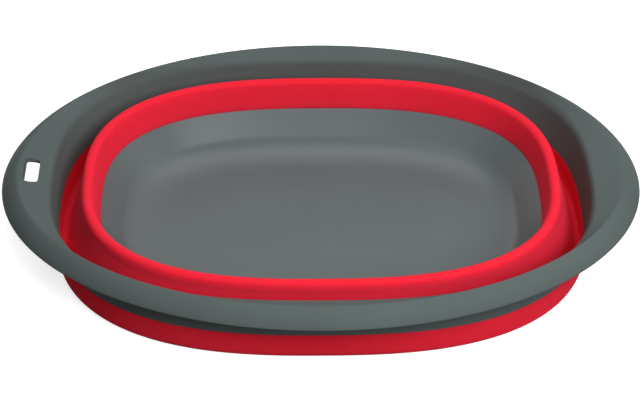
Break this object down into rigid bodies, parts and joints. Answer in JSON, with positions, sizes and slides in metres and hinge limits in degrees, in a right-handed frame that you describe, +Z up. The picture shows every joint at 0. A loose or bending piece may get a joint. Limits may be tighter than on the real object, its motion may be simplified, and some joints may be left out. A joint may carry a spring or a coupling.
{
  "type": "collapsible bowl",
  "caption": "Oval collapsible washing-up bowl folded flat: rigid rim with end wings and a hanging slot, soft folding wall, rigid pan.",
  "frame": {"origin": "on the floor under the bowl's centre, with the bowl folded flat and standing on its foot ring", "axes": "+X along the bowl, away from the wing with the hanging slot; +Y across it; +Z up"},
  "size_m": [0.44, 0.3334, 0.0545],
  "materials": {
    "rim_plastic": "moulded polypropylene, dark grey, fine matt grain",
    "pan_plastic": "moulded polypropylene, dark grey, satin",
    "soft_rubber": "moulded thermoplastic rubber, red, satin"
  },
  "bodies": {
    "pan": {"base": "pan_plastic", "inner_band": "soft_rubber", "folding_web": "soft_rubber"},
    "lifting_rim": {"rim": "rim_plastic", "outer_band": "soft_rubber"}
  },
  "joints": [
    {"name": "rim_lift", "type": "slide", "parent": "pan", "child": "lifting_rim", "axis": [0, 0, 1], "range_m": [0, 0.0755], "deforming": ["folding_web"]}
  ]
}
